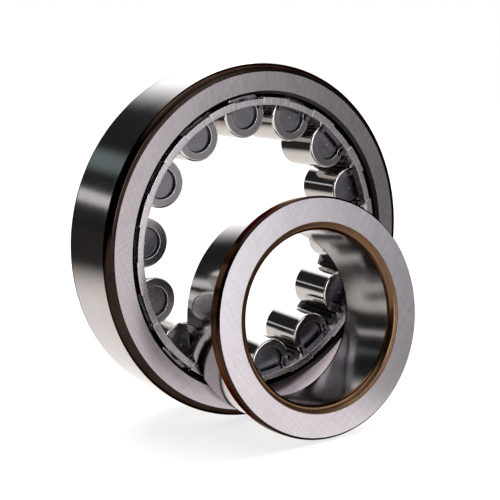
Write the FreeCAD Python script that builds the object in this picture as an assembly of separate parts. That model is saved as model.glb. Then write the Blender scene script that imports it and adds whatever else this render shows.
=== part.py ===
import FreeCAD, Part
import math
import os

# Cylindrical roller bearing, separable, dimension series 03, bore code 17.
# Millimetres. Origin: centre of the outer ring, bearing axis along Y,
# +Z up. The outer ring's front face looks along -Y. The inner ring is
# taken out and stands in front, on the same floor as the outer ring.

V = FreeCAD.Vector

# ---- boundary dimensions
BORE_R = 42.5            # 85 mm bore
OD_R = 90.0              # 180 mm outside diameter
WIDTH = 41.0
HALF = WIDTH / 2.0
CORNER_R = 4.0           # rounded corners of bore and outside diameter

# ---- outer ring
RACE_OUT_R = 78.0        # outer raceway, 156 mm
FLANGE_BORE_R = 75.2     # bore of the two integral flanges
FLANGE_IN_Y = 13.5       # inner side of each flange
FLANGE_CHAMFER = 1.5     # chamfer between face and flange bore
GROOVE_W = 1.2           # relief grooves in the raceway corners
GROOVE_D = 0.5

# ---- inner ring
RACE_IN_R = 54.0         # inner raceway, 108 mm
FLANGE_OD_R = 59.0       # outside of the one integral flange
FLANGE_BACK_Y = -13.9    # side of that flange that guides the rollers
FLANGE_EDGE = 1.2        # chamfer on the flange's outer edge
FLANGE_BREAK = 0.3       # broken edge on the guiding side
RACE_END_Y = 18.0        # the raceway ends here, then a lead-in
LEAD_IN_R = 52.4
YAW = -3.0               # how the loose ring stands, degrees about Z
IN_X = 6.2               # where the loose ring stands
IN_Y = -40.0

# ---- rollers
N_ROLLERS = 14
ROLLER_R = 12.0
ROLLER_HALF = 13.2
ROLLER_CORNER = 1.1
PITCH_R = 65.7           # 0.3 mm in from the raceway, held by the cage
FIRST_ANGLE = 97.3       # degrees from +X towards +Z
DIMPLE_R = 7.7
DIMPLE_FLOOR_R = 7.1
DIMPLE_D = 2.0
CENTRE_R = 0.7
CENTRE_D = 0.6

# ---- cage
RIM_IN_R = 69.7
RIM_OUT_R = 72.8
RIM_Y = 18.6             # end of the rim over a roller
RIM_BAR_Y = 19.0         # end of the rim over a bar
RIM_BAR_OUT_R = 73.5
BAR_ZONE = 12.8          # degrees of rim that stand proud at each bar
POCKET_HALF = 13.55
POCKET_CLEAR = 0.35
BAR_IN_R = 67.2
BAR_SLOT_W = 1.7         # pressed groove along the inside of each bar
BAR_SLOT_D = 1.2
BAR_DISH_W = 5.0         # pressed dish along the outside of each bar
BAR_DISH_D = 1.8
BAR_DISH_HALF = 10.0
LUG_IN_R = 67.6
LUG_ANGLE = 5.1          # either side of the bar's middle
LUG_W = 2.4
LUG_T = 1.6
LUG_GAP = 0.35

PITCH_ANGLE = 360.0 / N_ROLLERS


def turned(profile):
    """A ring turned about Y from (radius, y) points; a point may carry a third value, the middle of an arc."""
    pts = [V(p[0], p[1], 0) for p in profile]
    edges = []
    n = len(pts)
    for i in range(n):
        a, b = pts[i], pts[(i + 1) % n]
        mid = profile[i][2] if len(profile[i]) > 2 else None
        if mid:
            edges.append(Part.Arc(a, V(mid[0], mid[1], 0), b).toShape())
        else:
            edges.append(Part.LineSegment(a, b).toShape())
    face = Part.Face(Part.Wire(edges))
    return face.revolve(V(0, 0, 0), V(0, 1, 0), 360)


def arc_mid(cx, cy, r, deg):
    a = math.radians(deg)
    return (cx + r * math.cos(a), cy + r * math.sin(a))


def cyl(r, y0, y1, x=0.0, z=0.0):
    return Part.makeCylinder(r, y1 - y0, V(x, y0, z), V(0, 1, 0))


def about_y(shape, deg):
    s = shape.copy()
    # turning from +X towards +Z is a negative turn about +Y
    s.rotate(V(0, 0, 0), V(0, 1, 0), -deg)
    return s


def sector(r0, r1, y0, y1, width_deg):
    """Part of a ring, centred on +X."""
    a = math.radians(width_deg / 2.0)
    c, s = math.cos(a), math.sin(a)
    e = [
        Part.Arc(V(r0 * c, y0, -r0 * s), V(r0, y0, 0), V(r0 * c, y0, r0 * s)).toShape(),
        Part.LineSegment(V(r0 * c, y0, r0 * s), V(r1 * c, y0, r1 * s)).toShape(),
        Part.Arc(V(r1 * c, y0, r1 * s), V(r1, y0, 0), V(r1 * c, y0, -r1 * s)).toShape(),
        Part.LineSegment(V(r1 * c, y0, -r1 * s), V(r0 * c, y0, -r0 * s)).toShape(),
    ]
    return Part.Face(Part.Wire(e)).extrude(V(0, y1 - y0, 0))


def box(x0, x1, y0, y1, z0, z1):
    return Part.makeBox(x1 - x0, y1 - y0, z1 - z0, V(x0, y0, z0))


# ---- outer ring: round corners outside, two flanges, raceway between them
k = CORNER_R
g = GROOVE_D
fy = FLANGE_IN_Y
outer_profile = [
    (FLANGE_BORE_R + FLANGE_CHAMFER, -HALF),
    (OD_R - k, -HALF, arc_mid(OD_R - k, -HALF + k, k, -45)),
    (OD_R, -HALF + k),
    (OD_R, HALF - k, arc_mid(OD_R - k, HALF - k, k, 45)),
    (OD_R - k, HALF),
    (FLANGE_BORE_R + FLANGE_CHAMFER, HALF),
    (FLANGE_BORE_R, HALF - FLANGE_CHAMFER),
    (FLANGE_BORE_R, fy + 0.3),
    (FLANGE_BORE_R + 0.3, fy),
    (RACE_OUT_R + g, fy),
    (RACE_OUT_R + g, fy - GROOVE_W),
    (RACE_OUT_R, fy - GROOVE_W - g),
    (RACE_OUT_R, -fy + GROOVE_W + g),
    (RACE_OUT_R + g, -fy + GROOVE_W),
    (RACE_OUT_R + g, -fy),
    (FLANGE_BORE_R + 0.3, -fy),
    (FLANGE_BORE_R, -fy - 0.3),
    (FLANGE_BORE_R, -HALF + FLANGE_CHAMFER),
]
outer_ring = turned(outer_profile)

# ---- inner ring: one flange at the front, raceway open at the back
fb = FLANGE_BACK_Y
inner_profile = [
    (BORE_R, -HALF + k, arc_mid(BORE_R + k, -HALF + k, k, 225)),
    (BORE_R + k, -HALF),
    (FLANGE_OD_R - FLANGE_EDGE, -HALF),
    (FLANGE_OD_R, -HALF + FLANGE_EDGE),
    (FLANGE_OD_R, fb - FLANGE_BREAK),
    (FLANGE_OD_R - FLANGE_BREAK, fb),
    (RACE_IN_R - g, fb),
    (RACE_IN_R - g, fb + GROOVE_W),
    (RACE_IN_R, fb + GROOVE_W + g),
    (RACE_IN_R, RACE_END_Y),
    (LEAD_IN_R, HALF - 0.4),
    (LEAD_IN_R - 0.4, HALF),
    (BORE_R + k, HALF, arc_mid(BORE_R + k, HALF - k, k, 135)),
    (BORE_R, HALF - k),
]
inner_ring = turned(inner_profile)
# It stands on the flange's edge and on the raceway's end, so it leans back.
lean = math.atan2(FLANGE_OD_R - RACE_IN_R, RACE_END_Y - (fb - FLANGE_BREAK))
in_z = -OD_R + FLANGE_OD_R * math.cos(lean) + (fb - FLANGE_BREAK) * math.sin(lean)
inner_ring.rotate(V(0, 0, 0), V(1, 0, 0), -math.degrees(lean))
inner_ring.rotate(V(0, 0, 0), V(0, 0, 1), YAW)
inner_ring.translate(V(IN_X, IN_Y, in_z))

# ---- roller: barrel with round corners and a dimple in each end
c = ROLLER_CORNER
h = ROLLER_HALF
roller_profile = [
    (0.0, -h + DIMPLE_D + CENTRE_D),
    (CENTRE_R, -h + DIMPLE_D),
    (DIMPLE_FLOOR_R, -h + DIMPLE_D),
    (DIMPLE_R, -h),
    (ROLLER_R - c, -h, arc_mid(ROLLER_R - c, -h + c, c, -45)),
    (ROLLER_R, -h + c),
    (ROLLER_R, h - c, arc_mid(ROLLER_R - c, h - c, c, 45)),
    (ROLLER_R - c, h),
    (DIMPLE_R, h),
    (DIMPLE_FLOOR_R, h - DIMPLE_D),
    (CENTRE_R, h - DIMPLE_D),
    (0.0, h - DIMPLE_D - CENTRE_D),
]
one_roller = turned(roller_profile)
one_roller.translate(V(PITCH_R, 0, 0))
rollers = [
    about_y(one_roller, FIRST_ANGLE + i * PITCH_ANGLE) for i in range(N_ROLLERS)
]

# ---- cage: one pressed piece, two rims joined by a bar between each two rollers
cage = turned(
    [
        (BAR_IN_R, -POCKET_HALF),
        (RIM_IN_R, -POCKET_HALF),
        (RIM_IN_R, -RIM_Y),
        (RIM_OUT_R, -RIM_Y),
        (RIM_OUT_R, RIM_Y),
        (RIM_IN_R, RIM_Y),
        (RIM_IN_R, POCKET_HALF),
        (BAR_IN_R, POCKET_HALF),
    ]
)
pocket = cyl(ROLLER_R + POCKET_CLEAR, -POCKET_HALF, POCKET_HALF, x=PITCH_R)
for i in range(N_ROLLERS):
    cage = cage.cut(about_y(pocket, FIRST_ANGLE + i * PITCH_ANGLE))
adds, cuts = [], []
for i in range(N_ROLLERS):
    a = FIRST_ANGLE + (i + 0.5) * PITCH_ANGLE
    for side in (-1, 1):
        y0, y1 = sorted((side * (POCKET_HALF + 0.4), side * RIM_BAR_Y))
        adds.append(about_y(sector(RIM_IN_R, RIM_BAR_OUT_R, y0, y1, BAR_ZONE), a))
        y0, y1 = sorted(
            (side * (ROLLER_HALF + LUG_GAP), side * (ROLLER_HALF + LUG_GAP + LUG_T))
        )
        for turn in (-LUG_ANGLE, LUG_ANGLE):
            lug = box(LUG_IN_R, RIM_IN_R + 0.8, y0, y1, -LUG_W / 2, LUG_W / 2)
            adds.append(about_y(lug, a + turn))
    slot = box(
        BAR_IN_R - 1, BAR_IN_R + BAR_SLOT_D, -POCKET_HALF - 1, POCKET_HALF + 1,
        -BAR_SLOT_W / 2, BAR_SLOT_W / 2,
    )
    dish = box(
        RIM_OUT_R - BAR_DISH_D, RIM_OUT_R + 2, -BAR_DISH_HALF, BAR_DISH_HALF,
        -BAR_DISH_W / 2, BAR_DISH_W / 2,
    )
    cuts.append(about_y(slot, a))
    cuts.append(about_y(dish, a))
for s in adds:
    cage = cage.fuse(s)
for s in cuts:
    cage = cage.cut(s)
cage = cage.removeSplitter()

os.makedirs("parts", exist_ok=True)


def export(shape, name):
    solids = shape.Solids
    if len(solids) != 1 or not shape.isValid():
        raise RuntimeError(name + ": expected one valid solid, got %d" % len(solids))
    solids[0].exportStep("parts/" + name + ".step")


export(outer_ring, "outer_ring")
export(inner_ring, "inner_ring")
export(cage, "cage")
for i, r in enumerate(rollers):
    export(r, "roller_%02d" % (i + 1))

a = FreeCAD.Vector(0, 1, 0)
print("lean deg", math.degrees(lean), "inner z", in_z)
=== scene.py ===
import bpy, bmesh, math
from mathutils import Matrix, Vector


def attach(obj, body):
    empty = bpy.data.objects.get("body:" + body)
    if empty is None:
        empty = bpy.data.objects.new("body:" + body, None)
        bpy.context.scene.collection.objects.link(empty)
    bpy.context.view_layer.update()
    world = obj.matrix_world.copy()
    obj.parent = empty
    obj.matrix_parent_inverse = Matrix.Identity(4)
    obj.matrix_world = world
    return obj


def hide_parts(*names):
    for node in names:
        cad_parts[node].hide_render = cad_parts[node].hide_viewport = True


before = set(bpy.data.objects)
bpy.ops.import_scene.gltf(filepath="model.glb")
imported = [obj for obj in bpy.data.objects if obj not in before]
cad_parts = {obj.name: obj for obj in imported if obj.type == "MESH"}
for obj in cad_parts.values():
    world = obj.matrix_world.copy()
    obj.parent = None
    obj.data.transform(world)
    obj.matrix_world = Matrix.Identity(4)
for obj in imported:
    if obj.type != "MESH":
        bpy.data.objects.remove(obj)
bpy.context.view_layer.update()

# Cylindrical roller bearing, metres. Lengths in this file are written in
# millimetres and scaled, and repeat the sizes of the CAD model.
MM = 0.001
FLOOR_Z = -90.0 * MM

# ---------------------------------------------------------------- camera
AZ, EL, DIST = math.radians(-35.273), math.radians(10.95), 520.0 * MM
back = Vector((math.sin(AZ) * math.cos(EL), -math.cos(AZ) * math.cos(EL), math.sin(EL)))
right = (-back).cross(Vector((0, 0, 1))).normalized()
up = right.cross(-back).normalized()
target = right * (3.45 * MM) + up * (-6.18 * MM)
cam_data = bpy.data.cameras.new("camera")
cam_data.sensor_width = 36.0
cam_data.lens = 995.5 / 500.0 * 36.0
cam_data.clip_start, cam_data.clip_end = 0.01, 50.0
cam = bpy.data.objects.new("camera", cam_data)
cam.location = target + back * DIST
cam.rotation_mode = "QUATERNION"
cam.rotation_quaternion = (-back).to_track_quat("-Z", "Y")
bpy.context.scene.collection.objects.link(cam)
bpy.context.scene.camera = cam
bpy.context.scene.view_settings.view_transform = "Standard"
bpy.context.scene.view_settings.look = "None"


# ---------------------------------------------------------------- node helper
class Graph:
    def __init__(self, tree):
        self.t = tree
        tree.nodes.clear()

    def new(self, kind, **kw):
        n = self.t.nodes.new(kind)
        for k, v in kw.items():
            setattr(n, k, v)
        return n

    def put(self, socket, value):
        if isinstance(value, bpy.types.NodeSocket):
            self.t.links.new(value, socket)
        elif value is not None:
            socket.default_value = value

    def m(self, op, a, b=None, c=None, clamp=False):
        n = self.new("ShaderNodeMath", operation=op, use_clamp=clamp)
        for i, v in enumerate((a, b, c)):
            if v is not None:
                self.put(n.inputs[i], v)
        return n.outputs[0]

    def add(self, a, b):
        return self.m("ADD", a, b)

    def mul(self, a, b):
        return self.m("MULTIPLY", a, b)

    def step(self, x, a, b, lo=0.0, hi=1.0):
        """Smooth step of x from a to b, giving lo to hi."""
        n = self.new("ShaderNodeMapRange", interpolation_type="SMOOTHSTEP")
        self.put(n.inputs["Value"], x)
        n.inputs["From Min"].default_value = a
        n.inputs["From Max"].default_value = b
        n.inputs["To Min"].default_value = lo
        n.inputs["To Max"].default_value = hi
        return n.outputs["Result"]

    def band(self, x, a, b, soft):
        """1 between a and b, falling to 0 over soft outside."""
        return self.mul(self.step(x, a - soft, a), self.step(x, b, b + soft, 1.0, 0.0))

    def range(self, x, a, b, lo, hi):
        n = self.new("ShaderNodeMapRange")
        self.put(n.inputs["Value"], x)
        for k, v in (("From Min", a), ("From Max", b), ("To Min", lo), ("To Max", hi)):
            n.inputs[k].default_value = v
        return n.outputs["Result"]

    def xyz(self, x, y, z):
        n = self.new("ShaderNodeCombineXYZ")
        for i, v in enumerate((x, y, z)):
            self.put(n.inputs[i], v)
        return n.outputs[0]

    def split(self, v):
        n = self.new("ShaderNodeSeparateXYZ")
        self.put(n.inputs[0], v)
        return n.outputs

    def noise(self, vec, scale=1.0, detail=2.0, rough=0.5, dist=0.0):
        n = self.new("ShaderNodeTexNoise")
        self.put(n.inputs["Vector"], vec)
        n.inputs["Scale"].default_value = scale
        n.inputs["Detail"].default_value = detail
        n.inputs["Roughness"].default_value = rough
        n.inputs["Distortion"].default_value = dist
        return n.outputs["Fac"]

    def mix(self, fac, a, b, blend="MIX"):
        n = self.new("ShaderNodeMix", data_type="RGBA", blend_type=blend)
        self.put(n.inputs["Factor"], fac)
        sock = [s for s in n.inputs if s.type == "RGBA"]
        for s, v in zip(sock, (a, b)):
            self.put(s, v)
        return [s for s in n.outputs if s.type == "RGBA"][0]

    def bump(self, height, strength, distance, normal=None):
        n = self.new("ShaderNodeBump")
        n.inputs["Strength"].default_value = strength
        n.inputs["Distance"].default_value = distance
        self.put(n.inputs["Height"], height)
        if normal is not None:
            self.put(n.inputs["Normal"], normal)
        return n.outputs["Normal"]


def rgb(r, g, b):
    return (r, g, b, 1.0)


def polar(g):
    """x, y, z in millimetres, radius about Y and angle, from the piece's own coordinates."""
    co = g.new("ShaderNodeTexCoord").outputs["Object"]
    s = g.new("ShaderNodeVectorMath", operation="SCALE")
    g.put(s.inputs[0], co)
    s.inputs["Scale"].default_value = 1000.0
    x, y, z = g.split(s.outputs[0])
    r = g.m("SQRT", g.add(g.mul(x, x), g.mul(z, z)))
    a = g.m("ARCTAN2", z, x)
    return x, y, z, r, a, s.outputs[0]


def shader(name):
    mat = bpy.data.materials.new(name)
    mat.use_nodes = True
    g = Graph(mat.node_tree)
    out = g.new("ShaderNodeOutputMaterial")
    bsdf = g.new("ShaderNodeBsdfPrincipled")
    g.put(out.inputs["Surface"], bsdf.outputs[0])
    bsdf.inputs["Metallic"].default_value = 1.0
    return mat, g, bsdf


def ground(name, dark, light, rough, radius, along=1.0, wear=0.02, aniso=0.35, tint=None, relief=0.35):
    """Steel ground or honed round its own axis: fine lines round the axis, faint patches of handling."""
    mat, g, b = shader(name)
    x, y, z, r, a, p = polar(g)
    # lines run round the axis, so the pattern is long in angle and short along Y
    ca, sa = g.m("COSINE", a), g.m("SINE", a)
    k = 0.35
    v = g.xyz(g.mul(ca, radius * k * 0.12), g.mul(y, along), g.mul(sa, radius * k * 0.12))
    fine = g.noise(v, 3.2, 3.0, 0.65)
    coarse = g.noise(v, 0.7, 2.0, 0.5)
    lines = g.add(g.mul(fine, 0.6), g.mul(coarse, 0.4))
    patch = g.noise(p, 0.045, 3.0, 0.6, 0.3)
    tone = g.m("ADD", g.mul(lines, 0.7), g.mul(patch, 0.3))
    col = g.mix(g.range(tone, 0.3, 0.7, 0.0, 1.0), rgb(*dark), rgb(*light))
    if tint is not None:
        col = g.mix(g.step(patch, 0.45, 0.75, 0.0, 0.55), col, rgb(*tint))
    g.put(b.inputs["Base Color"], col)
    g.put(b.inputs["Roughness"], g.range(tone, 0.25, 0.75, rough * 0.75, rough * 1.35))
    g.put(b.inputs["Normal"], g.bump(lines, relief, wear * MM))
    b.inputs["Anisotropic"].default_value = aniso
    t = g.new("ShaderNodeTangent", direction_type="RADIAL", axis="Y")
    g.put(b.inputs["Tangent"], t.outputs[0])
    return mat


def face_steel(name, dark, light, rough, stain=(0.40, 0.34, 0.33)):
    """Side face of a ring, ground flat: two crossing sets of long shallow arcs, mottled."""
    mat, g, b = shader(name)
    x, y, z, r, a, p = polar(g)

    def arcs(cx, cz, freq):
        dx, dz = g.add(x, -cx), g.add(z, -cz)
        rr = g.m("SQRT", g.add(g.mul(dx, dx), g.mul(dz, dz)))
        aa = g.m("ARCTAN2", dz, dx)
        return g.noise(g.xyz(g.mul(rr, freq), g.mul(aa, 9.0), 0.0), 1.0, 2.0, 0.6)

    one, two = arcs(190.0, 120.0, 1.5), arcs(-150.0, 175.0, 1.3)
    three = arcs(30.0, -260.0, 2.6)
    grain = g.add(g.add(g.mul(one, 0.4), g.mul(two, 0.35)), g.mul(three, 0.25))
    speck = g.noise(p, 1.6, 2.0, 0.7)
    cloud = g.noise(p, 0.07, 4.0, 0.6, 0.5)
    tone = g.add(g.add(g.mul(grain, 0.62), g.mul(speck, 0.18)), g.mul(cloud, 0.20))
    col = g.mix(g.range(tone, 0.36, 0.64, 0.0, 1.0), rgb(*dark), rgb(*light))
    col = g.mix(g.step(cloud, 0.56, 0.78, 0.0, 0.38), col, rgb(*stain))
    g.put(b.inputs["Base Color"], col)
    g.put(b.inputs["Roughness"], g.range(tone, 0.3, 0.7, rough * 0.88, rough * 1.15))
    g.put(b.inputs["Normal"], g.bump(grain, 0.30, 0.03 * MM))
    return mat


def turned_steel(name, dark, light, rough, pitch=2.2, rim=None):
    """Turned and hardened steel left brown, with fine tool lines round the axis."""
    mat, g, b = shader(name)
    x, y, z, r, a, p = polar(g)
    v = g.xyz(g.mul(g.m("COSINE", a), 1.5), g.mul(g.add(y, r), pitch), g.mul(g.m("SINE", a), 1.5))
    lines = g.noise(v, 1.0, 3.0, 0.6)
    patch = g.noise(p, 0.09, 3.0, 0.6, 0.4)
    tone = g.add(g.mul(lines, 0.55), g.mul(patch, 0.45))
    col = g.mix(g.range(tone, 0.32, 0.68, 0.0, 1.0), rgb(*dark), rgb(*light))
    g.put(b.inputs["Base Color"], col)
    g.put(b.inputs["Roughness"], g.range(tone, 0.3, 0.7, rough * 0.8, rough * 1.3))
    g.put(b.inputs["Normal"], g.bump(lines, 0.3, 0.015 * MM))
    b.inputs["Anisotropic"].default_value = 0.3
    if rim is not None:
        b.inputs["Specular Tint"].default_value = rgb(*rim)
    t = g.new("ShaderNodeTangent", direction_type="RADIAL", axis="Y")
    g.put(b.inputs["Tangent"], t.outputs[0])
    return mat


def end_steel(name, dark, light, rough):
    """End of a roller: faced on a lathe, with concentric rings."""
    mat, g, b = shader(name)
    x, y, z, r, a, p = polar(g)
    wob = g.noise(p, 0.25, 2.0, 0.5)
    rings = g.noise(g.xyz(g.mul(r, 3.0), g.mul(g.m("COSINE", a), 0.4), g.mul(g.m("SINE", a), 0.4)), 1.0, 2.0, 0.6)
    speck = g.noise(p, 2.4, 2.0, 0.7)
    tone = g.add(g.add(g.mul(rings, 0.45), g.mul(wob, 0.3)), g.mul(speck, 0.25))
    col = g.mix(g.range(tone, 0.34, 0.66, 0.0, 1.0), rgb(*dark), rgb(*light))
    g.put(b.inputs["Base Color"], col)
    g.put(b.inputs["Roughness"], g.range(tone, 0.3, 0.7, rough * 0.85, rough * 1.2))
    g.put(b.inputs["Normal"], g.bump(rings, 0.30, 0.03 * MM))
    return mat


def pressed_steel(name, dark, light, rough, relief=0.15, depth=0.02):
    """Cage: formed and machined steel with a coarse sparkle. The caller gives the colours: bright for the rims, a
    darker grey for the lugs, and near-black for the bars, which is painted shade between the rollers.
    """
    mat, g, b = shader(name)
    x, y, z, r, a, p = polar(g)
    v = g.xyz(g.mul(a, 70.0 * 0.9), g.mul(r, 0.35), g.mul(y, 0.6))
    cuts = g.noise(v, 1.0, 3.0, 0.65)
    speck = g.noise(p, 1.5, 3.0, 0.7)
    cloud = g.noise(p, 0.12, 3.0, 0.6)
    tone = g.add(g.add(g.mul(cuts, 0.50), g.mul(speck, 0.20)), g.mul(cloud, 0.30))
    col = g.mix(g.range(tone, 0.34, 0.66, 0.0, 1.0), rgb(*dark), rgb(*light))
    g.put(b.inputs["Base Color"], col)
    g.put(b.inputs["Roughness"], g.range(tone, 0.3, 0.7, rough * 0.85, rough * 1.25))
    g.put(b.inputs["Normal"], g.bump(g.add(g.mul(cuts, 0.75), g.mul(speck, 0.25)), relief, depth * MM))
    return mat


MAT = {
    "od": ground("ring_outside_ground", (0.40, 0.39, 0.39), (0.50, 0.485, 0.475), 0.12, 90.0, wear=0.008, tint=(0.43, 0.38, 0.355), relief=0.2),
    "face": face_steel("ring_face_ground", (0.36, 0.335, 0.36), (0.53, 0.50, 0.535), 0.24),
    "face_in": face_steel("inner_ring_face_ground", (0.50, 0.48, 0.515), (0.66, 0.63, 0.67), 0.23),
    "corner": turned_steel("ring_corner_turned", (0.014, 0.009, 0.007), (0.036, 0.024, 0.019), 0.14, rim=(0.10, 0.075, 0.062)),
    "corner_in": turned_steel("inner_ring_corner_turned", (0.085, 0.048, 0.028), (0.17, 0.098, 0.057), 0.19, rim=(0.30, 0.18, 0.11)),
    "flange_od": turned_steel("inner_flange_edge_turned", (0.075, 0.046, 0.033), (0.15, 0.10, 0.075), 0.20, rim=(0.25, 0.17, 0.13)),
    "flange_bore": turned_steel("flange_bore_turned", (0.030, 0.027, 0.027), (0.062, 0.056, 0.056), 0.25, rim=(0.12, 0.11, 0.11)),
    "race": ground("raceway_honed", (0.34, 0.33, 0.33), (0.46, 0.445, 0.435), 0.11, 60.0, wear=0.012, relief=0.25),
    "bore": ground("bore_ground", (0.24, 0.231, 0.226), (0.33, 0.319, 0.31), 0.14, 42.0, wear=0.010, aniso=0.45, relief=0.2),
    "groove": turned_steel("relief_groove_turned", (0.10, 0.09, 0.085), (0.20, 0.18, 0.17), 0.30),
    "barrel": ground("roller_barrel_lapped", (0.43, 0.415, 0.40), (0.55, 0.53, 0.51), 0.10, 12.0, along=1.4, wear=0.010, aniso=0.25, relief=0.25),
    "end": end_steel("roller_end_faced", (0.21, 0.205, 0.222), (0.30, 0.29, 0.315), 0.23),
    "dimple": end_steel("roller_dimple_turned", (0.15, 0.146, 0.168), (0.23, 0.225, 0.252), 0.27),
    # dimple wall made near-black: turned steel with painted shade in the recess of the roller end
    "wall": turned_steel("roller_dimple_wall", (0.06, 0.06, 0.066), (0.12, 0.117, 0.126), 0.3),
    # lighter than the barrel: painted highlight along the rounded rim of each roller
    "round": ground("roller_corner_rounded", (0.55, 0.53, 0.52), (0.70, 0.68, 0.67), 0.10, 12.0, along=1.4, aniso=0.1),
    "cage": pressed_steel("cage_steel", (0.46, 0.44, 0.47), (0.66, 0.63, 0.67), 0.25),
    # near-black bars: painted shade where they stand between the rollers
    "cage_bar": pressed_steel("cage_bar_painted_shade", (0.030, 0.028, 0.029), (0.070, 0.066, 0.068), 0.34),
    "cage_lug": pressed_steel("cage_lug_steel", (0.10, 0.096, 0.102), (0.19, 0.182, 0.192), 0.32),
}


# ---------------------------------------------------------------- turned pieces
def outline(points, closed):
    """Profile points (radius, y, fillet, zone after, zone of the fillet) -> list of (r, y, nr, ny, zone of the strip that follows)."""
    out = []
    n = len(points)
    for i, (r, y, f, zone, fzone) in enumerate(points):
        p = Vector((r, y))
        if not closed and i in (0, n - 1):
            q = Vector(points[1][:2]) - p if i == 0 else p - Vector(points[n - 2][:2])
            q.normalize()
            out.append((r, y, q.y, -q.x, zone))
            continue
        a = Vector(points[i - 1][:2])
        b = Vector(points[(i + 1) % n][:2])
        t1, t2 = (p - a).normalized(), (b - p).normalized()
        turn = math.atan2(t1.x * t2.y - t1.y * t2.x, t1.dot(t2))
        cut = f * math.tan(abs(turn) / 2)
        side = 1.0 if turn > 0 else -1.0
        start = p - t1 * cut
        centre = start + Vector((-t1.y, t1.x)) * f * side
        steps = max(3, int(math.ceil(abs(math.degrees(turn)) / (7.5 if f > 0.8 else 18.0))))
        for s in range(steps + 1):
            w = turn * s / steps
            c, q = math.cos(w), math.sin(w)
            t = Vector((t1.x * c - t1.y * q, t1.x * q + t1.y * c))
            normal = Vector((t.y, -t.x))
            pt = centre + normal * f * side
            out.append((pt.x, pt.y, normal.x, normal.y, fzone if s < steps else zone))
    return out


def lathe(name, points, closed, around, zones, matrix=Matrix.Identity(4)):
    prof = outline(points, closed)
    verts, normals, faces, mats = [], [], [], []
    rows = []
    for r, y, nr, ny, _ in prof:
        if r < 1e-6:
            rows.append([len(verts)])
            verts.append((0, y * MM, 0))
            normals.append((0, math.copysign(1.0, ny), 0))
            continue
        row = []
        for k in range(around):
            t = 2 * math.pi * k / around
            c, s = math.cos(t), math.sin(t)
            row.append(len(verts))
            verts.append((r * c * MM, y * MM, r * s * MM))
            normals.append((nr * c, ny, nr * s))
        rows.append(row)
    count = len(prof) if closed else len(prof) - 1
    for i in range(count):
        a, b = rows[i], rows[(i + 1) % len(rows)]
        zi = zones.index(prof[i][4])
        for k in range(around):
            k2 = (k + 1) % around
            if len(a) == 1:
                faces.append((a[0], b[k], b[k2]))
            elif len(b) == 1:
                faces.append((a[k], b[0], a[k2]))
            else:
                faces.append((a[k], b[k], b[k2], a[k2]))
            mats.append(zi)
    me = bpy.data.meshes.new(name)
    me.from_pydata(verts, [], faces)
    me.update()
    # faces look outwards
    f0 = me.polygons[len(me.polygons) // 2]
    want = Vector(normals[f0.vertices[0]])
    if f0.normal.dot(want) < 0:
        me.flip_normals()
    me.polygons.foreach_set("material_index", mats)
    me.polygons.foreach_set("use_smooth", [True] * len(me.polygons))
    for z in zones:
        me.materials.append(MAT[z])
    me.normals_split_custom_set_from_vertices(normals)
    ob = bpy.data.objects.new(name, me)
    ob.matrix_world = matrix
    bpy.context.scene.collection.objects.link(ob)
    return ob


# outer ring
outer = [
    (76.7, -20.5, 0.20, "face", "flange_bore"),
    (90.0, -20.5, 4.00, "od", "corner"),
    (90.0, 20.5, 4.00, "face", "corner"),
    (76.7, 20.5, 0.20, "flange_bore", "flange_bore"),
    (75.2, 19.0, 0.25, "flange_bore", "flange_bore"),
    (75.2, 13.5, 0.30, "race", "flange_bore"),
    (78.5, 13.5, 0.15, "groove", "groove"),
    (78.5, 12.3, 0.15, "groove", "groove"),
    (78.0, 11.8, 0.30, "race", "groove"),
    (78.0, -11.8, 0.30, "groove", "groove"),
    (78.5, -12.3, 0.15, "groove", "groove"),
    (78.5, -13.5, 0.15, "race", "groove"),
    (75.2, -13.5, 0.30, "flange_bore", "flange_bore"),
    (75.2, -19.0, 0.25, "flange_bore", "flange_bore"),
]
ring = lathe("outer_ring_turned", outer, True, 288, ["od", "face", "corner", "flange_bore", "race", "groove"])
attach(ring, "outer_ring")
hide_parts("outer_ring")

# inner ring, standing in front, leaning back on its flange edge
lean = math.atan2(59.0 - 54.0, 18.0 + 13.9 + 0.3)
in_z = -90.0 + 59.0 * math.cos(lean) + (-13.9 - 0.3) * math.sin(lean)
seat = (
    Matrix.Translation(Vector((6.2, -40.0, in_z)) * MM)
    @ Matrix.Rotation(math.radians(-3.0), 4, "Z")
    @ Matrix.Rotation(-lean, 4, "X")
)
inner = [
    (42.5, -20.5, 4.00, "face_in", "corner_in"),
    (57.8, -20.5, 0.15, "corner", "face_in"),
    (59.0, -19.3, 0.20, "flange_od", "corner"),
    (59.0, -13.9, 0.30, "face_in", "flange_od"),
    (53.5, -13.9, 0.15, "groove", "groove"),
    (53.5, -12.7, 0.15, "groove", "groove"),
    (54.0, -12.2, 0.30, "race", "groove"),
    (54.0, 18.0, 0.50, "race", "race"),
    (52.4, 20.1, 0.20, "corner", "corner"),
    (52.0, 20.5, 0.15, "face_in", "corner"),
    (42.5, 20.5, 4.00, "bore", "corner_in"),
]
ring_in = lathe(
    "inner_ring_turned", inner, True, 256,
    ["bore", "face_in", "corner_in", "corner", "flange_od", "groove", "race"], seat,
)
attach(ring_in, "inner_ring")
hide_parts("inner_ring")

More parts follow.
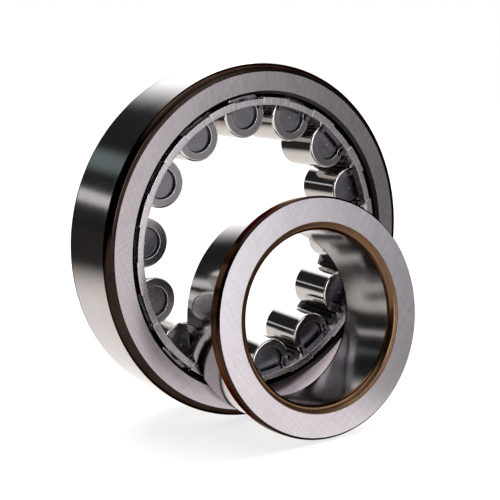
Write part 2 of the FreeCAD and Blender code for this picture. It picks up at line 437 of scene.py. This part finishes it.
# rollers
roller = [
    (0.0, -10.6, 0.0, "dimple", "dimple"),
    (0.7, -11.2, 0.10, "dimple", "dimple"),
    (7.1, -11.2, 0.30, "wall", "wall"),
    (7.7, -13.2, 0.22, "end", "round"),
    (12.0, -13.2, 1.10, "barrel", "round"),
    (12.0, 13.2, 1.10, "end", "round"),
    (7.7, 13.2, 0.22, "wall", "round"),
    (7.1, 11.2, 0.30, "dimple", "wall"),
    (0.7, 11.2, 0.10, "dimple", "dimple"),
    (0.0, 10.6, 0.0, "dimple", "dimple"),
]
for i in range(14):
    t = math.radians(97.3 + i * 360.0 / 14)
    name = "roller_%02d" % (i + 1)
    place = Matrix.Translation(Vector((65.7 * math.cos(t), 0, 65.7 * math.sin(t))) * MM) @ Matrix.Rotation(
        math.radians(-47.0 * i), 4, "Y"
    )
    ob = lathe(name + "_turned", roller, False, 96, ["barrel", "end", "dimple", "wall", "round"], place)
    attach(ob, name)
    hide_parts(name)


# ---------------------------------------------------------------- cage
def shell_bevel(bm, width, segments=2, limit=30.0):
    """Rounds the sharp edges of a closed shell of clean quads."""
    bmesh.ops.recalc_face_normals(bm, faces=bm.faces)
    sharp = [e for e in bm.edges if len(e.link_faces) == 2 and e.calc_face_angle(0) > math.radians(limit)]
    bmesh.ops.bevel(
        bm, geom=sharp, offset=width, offset_type="OFFSET", segments=segments, profile=0.5,
        affect="EDGES", clamp_overlap=True,
    )


def grow(target, bm, matrix, mat_slot=0):
    """Adds a copy of one shell to target, placed by matrix, with one of the cage's materials; slot 1 is the bars'
    painted shade.
    """
    me = bpy.data.meshes.new("part")
    for f in bm.faces:
        f.material_index = mat_slot
    bm.to_mesh(me)
    me.transform(matrix)
    target.from_mesh(me)
    bpy.data.meshes.remove(me)


def sector_shell(r0, r1, y0, y1, width, steps, bevel):
    bm = bmesh.new()
    rows = []
    for i in range(steps + 1):
        t = math.radians(width * (i / steps - 0.5))
        c, s = math.cos(t), math.sin(t)
        rows.append([bm.verts.new(Vector((r * c, y, r * s)) * MM) for r, y in ((r0, y0), (r1, y0), (r1, y1), (r0, y1))])
    for i in range(steps):
        for k in range(4):
            bm.faces.new((rows[i][k], rows[i][(k + 1) % 4], rows[i + 1][(k + 1) % 4], rows[i + 1][k]))
    bm.faces.new(rows[0][::-1])
    bm.faces.new(rows[-1])
    shell_bevel(bm, bevel * MM)
    return bm


def bar_shell(bevel):
    """One bar: hollow sides that follow the rollers, a groove along the inside and a dish along the outside."""
    pitch = math.pi / 14
    cx, cz = 65.7 * math.cos(pitch), 65.7 * math.sin(pitch)
    ys = [-13.8, -10.6, -10.1, -9.6, -8.9, -5.0, 0.0, 5.0, 8.9, 9.6, 10.1, 10.6, 13.8]
    dish = lambda y: 1.8 * max(0.0, min(1.0, (10.4 - abs(y)) / 1.3))

    def half(y):
        d = dish(y)
        pts = [(68.4, 0.0), (68.4, 0.85), (67.2, 0.85)]
        steps = 12
        a0 = math.asin(max(-1, min(1, (67.2 - cx) / 12.35)))
        # the side runs from the inner edge out to the outer surface
        z1, r1 = 0.0, 72.8
        a1 = a0
        for _ in range(60):
            a1 += 0.02
            if math.hypot(cx + 12.35 * math.sin(a1), cz - 12.35 * math.cos(a1)) >= r1:
                break
        for k in range(steps + 1):
            t = a0 + (a1 - a0) * k / steps
            pts.append((cx + 12.35 * math.sin(t), cz - 12.35 * math.cos(t)))
        last = math.atan2(pts[-1][1], pts[-1][0])
        edge = 2.5 / 72.8
        for k in (1, 2, 3):
            t = last + (edge - last) * k / 3
            pts.append((72.8 * math.cos(t), 72.8 * math.sin(t)))
        pts.append((72.75 - 0.75 * d, 2.35))
        pts.append((72.75 - d, 1.9))
        pts.append((72.78 - d, 0.0))
        return pts

    bm = bmesh.new()
    rows = []
    for y in ys:
        h = half(y)
        loop = h + [(x, -z) for x, z in reversed(h[1:-1])]
        rows.append([bm.verts.new(Vector((x, y, z)) * MM) for x, z in loop])
    n = len(rows[0])
    for i in range(len(rows) - 1):
        for k in range(n):
            bm.faces.new((rows[i][k], rows[i][(k + 1) % n], rows[i + 1][(k + 1) % n], rows[i + 1][k]))
    bm.faces.new(rows[0][::-1])
    bm.faces.new(rows[-1])
    shell_bevel(bm, bevel * MM, 2, 40.0)
    return bm


def block_shell(x0, x1, y0, y1, z0, z1, bevel):
    bm = bmesh.new()
    bmesh.ops.create_cube(bm, size=1.0)
    for v in bm.verts:
        v.co = Vector(((x0, x1)[v.co.x > 0], (y0, y1)[v.co.y > 0], (z0, z1)[v.co.z > 0])) * MM
    shell_bevel(bm, bevel * MM)
    return bm


def build_cage():
    whole = bmesh.new()
    for side in (-1, 1):
        y0, y1 = sorted((side * 13.55, side * 18.6))
        rim = [
            (69.7, y0, 0.22, "cage", "cage"), (72.8, y0, 0.22, "cage", "cage"),
            (72.8, y1, 0.22, "cage", "cage"), (69.7, y1, 0.22, "cage", "cage"),
        ]
        ob = lathe("rim", rim, True, 224, ["cage"])
        whole.from_mesh(ob.data)
        bpy.data.objects.remove(ob)
        y0, y1 = sorted((side * 13.95, side * 19.0))
        zone = sector_shell(69.7, 73.5, y0, y1, 12.8, 12, 0.24)
        y0, y1 = sorted((side * 13.55, side * 15.15))
        lug = block_shell(67.6, 71.4, y0, y1, -1.2, 1.2, 0.22)
        for i in range(14):
            mid = 97.3 + (i + 0.5) * 360.0 / 14
            grow(whole, zone, Matrix.Rotation(-math.radians(mid), 4, "Y"))
            for turn in (-5.1, 5.1):
                grow(whole, lug, Matrix.Rotation(-math.radians(mid + turn), 4, "Y"), 2)
    bar = bar_shell(0.2)
    for i in range(14):
        # the bars take slot 1, the near-black painted shade
        grow(whole, bar, Matrix.Rotation(-math.radians(97.3 + (i + 0.5) * 360.0 / 14), 4, "Y"), 1)
    me = bpy.data.meshes.new("cage_formed")
    for z in ("cage", "cage_bar", "cage_lug"):
        me.materials.append(MAT[z])
    whole.to_mesh(me)
    me.polygons.foreach_set("use_smooth", [True] * len(me.polygons))
    me.set_sharp_from_angle(angle=math.radians(40))
    ob = bpy.data.objects.new("cage_formed", me)
    bpy.context.scene.collection.objects.link(ob)
    w = ob.modifiers.new("normals", "WEIGHTED_NORMAL")
    w.keep_sharp = True
    return ob


cage = build_cage()
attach(cage, "cage")
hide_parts("cage")


# ---------------------------------------------------------------- studio
world = bpy.data.worlds.new("studio")
bpy.context.scene.world = world
world.use_nodes = True
g = Graph(world.node_tree)
out = g.new("ShaderNodeOutputWorld")
x, y, z = g.split(g.new("ShaderNodeTexCoord").outputs["Generated"])
el = g.mul(g.m("ARCSINE", z), 180 / math.pi)
az = g.mul(g.m("ARCTAN2", x, y), 180 / math.pi)  # 0 behind the object, 90 to the right
# white wall behind and to the right; its left edge leans over to the left higher up
edge = g.add(az, g.mul(g.m("MAXIMUM", g.add(el, -31.0), 0.0), 2.2))
wall = g.mul(g.step(edge, 0.0, 25.0), g.step(az, 95.0, 125.0, 1.0, 0.0))
wall = g.mul(wall, 2.2)
# overhead diffuser
top = g.mul(g.step(el, 47.0, 68.0), 1.05)
# large soft light to the right of the camera
front = g.mul(g.step(g.add(az, g.mul(el, 0.08)), 142.0, 157.0), 1.65)
front2 = g.mul(g.step(az, -166.0, -178.0), 1.2)
front = g.mul(g.add(front, front2), g.step(el, 30.0, 55.0, 1.0, 0.0))
# narrow strip and a faint cool glow on the left behind, a slim lamp beside the camera
strip = g.mul(g.mul(g.band(az, -42.0, -18.0, 5.0), g.band(el, 7.4, 9.8, 1.3)), 1.05)
glow = g.mul(g.mul(g.band(az, -22.0, -17.0, 3.0), g.band(el, 18.5, 21.0, 3.0)), 0.28)
side = g.mul(g.mul(g.band(az, -164.0, -160.0, 2.0), g.band(el, -2.0, 30.0, 8.0)), 9.0)
low = g.mul(g.step(az, 60.0, 110.0), 0.20)
total = g.add(g.add(g.add(wall, top), g.add(front, strip)), g.add(g.add(side, low), 0.025))
warm = g.mix(g.step(el, -20.0, 20.0), rgb(1.0, 0.965, 0.95), rgb(1.0, 0.985, 1.0))
vm = g.new("ShaderNodeVectorMath", operation="SCALE")
g.put(vm.inputs[0], warm)
g.put(vm.inputs["Scale"], total)
vg = g.new("ShaderNodeVectorMath", operation="SCALE")
vg.inputs[0].default_value = (0.75, 1.0, 1.0)
g.put(vg.inputs["Scale"], glow)
va = g.new("ShaderNodeVectorMath", operation="ADD")
g.put(va.inputs[0], vm.outputs[0])
g.put(va.inputs[1], vg.outputs[0])
studio = g.new("ShaderNodeBackground")
g.put(studio.inputs["Color"], va.outputs[0])
paper = g.new("ShaderNodeBackground")
paper.inputs["Color"].default_value = (1, 1, 1, 1)
seen = g.new("ShaderNodeLightPath").outputs["Is Camera Ray"]
pick = g.new("ShaderNodeMixShader")
g.put(pick.inputs[0], seen)
g.put(pick.inputs[1], studio.outputs[0])
g.put(pick.inputs[2], paper.outputs[0])
g.put(out.inputs["Surface"], pick.outputs[0])

# floor: white paper, a soft contact shadow where it is looked at; in the steel's reflections the floor glows instead,
# with painted light and a painted shade patch
bm = bmesh.new()
bmesh.ops.create_grid(bm, x_segments=1, y_segments=1, size=3.0)
fm = bpy.data.meshes.new("floor")
bm.to_mesh(fm)
bm.free()
floor = bpy.data.objects.new("floor", fm)
floor.location = (0, 0, FLOOR_Z - 0.0002)
bpy.context.scene.collection.objects.link(floor)
mat = bpy.data.materials.new("paper_floor")
mat.use_nodes = True
g = Graph(mat.node_tree)
out = g.new("ShaderNodeOutputMaterial")
px, py, pz = g.split(g.new("ShaderNodeTexCoord").outputs["Object"])
# painted light for what the steel reflects: the floor glows, falling off to the left and back and to the right in
# front, with a painted shade patch over part of its angle range that grows with distance
leftback = g.m("SUBTRACT", g.mul(py, 0.9), g.mul(px, 0.45))
angle = g.mul(g.m("ARCTAN2", px, g.add(py, 0.02)), 180 / math.pi)
fall = g.m("MAXIMUM", g.step(leftback, 0.17, 0.44, 1.0, 0.03), g.step(angle, 4.0, 24.0))
shade = g.mul(g.step(angle, 80.0, 125.0), g.step(angle, 141.0, 157.0, 1.0, 0.0))
reach = g.step(g.m("SQRT", g.add(g.mul(px, px), g.mul(py, py))), 0.10, 0.26)
fall = g.mul(fall, g.m("SUBTRACT", 1.0, g.mul(g.mul(shade, reach), 0.82)))
painted_floor_glow = g.mul(fall, 1.2)
em = g.new("ShaderNodeEmission")
tintc = g.mix(g.step(leftback, 0.05, 0.4), rgb(1.0, 0.95, 0.93), rgb(1.0, 0.93, 0.88))
g.put(em.inputs["Color"], tintc)
g.put(em.inputs["Strength"], painted_floor_glow)
white = g.new("ShaderNodeEmission")
white.inputs["Color"].default_value = (1, 1, 1, 1)
white.inputs["Strength"].default_value = 0.72
dif = g.new("ShaderNodeBsdfDiffuse")
dif.inputs["Color"].default_value = (0.45, 0.45, 0.45, 1)
both = g.new("ShaderNodeAddShader")
g.put(both.inputs[0], white.outputs[0])
g.put(both.inputs[1], dif.outputs[0])
seen = g.new("ShaderNodeLightPath").outputs["Is Camera Ray"]
pick = g.new("ShaderNodeMixShader")
g.put(pick.inputs[0], seen)
g.put(pick.inputs[1], em.outputs[0])
g.put(pick.inputs[2], both.outputs[0])
g.put(out.inputs["Surface"], pick.outputs[0])
fm.materials.append(mat)

bpy.context.view_layer.update()
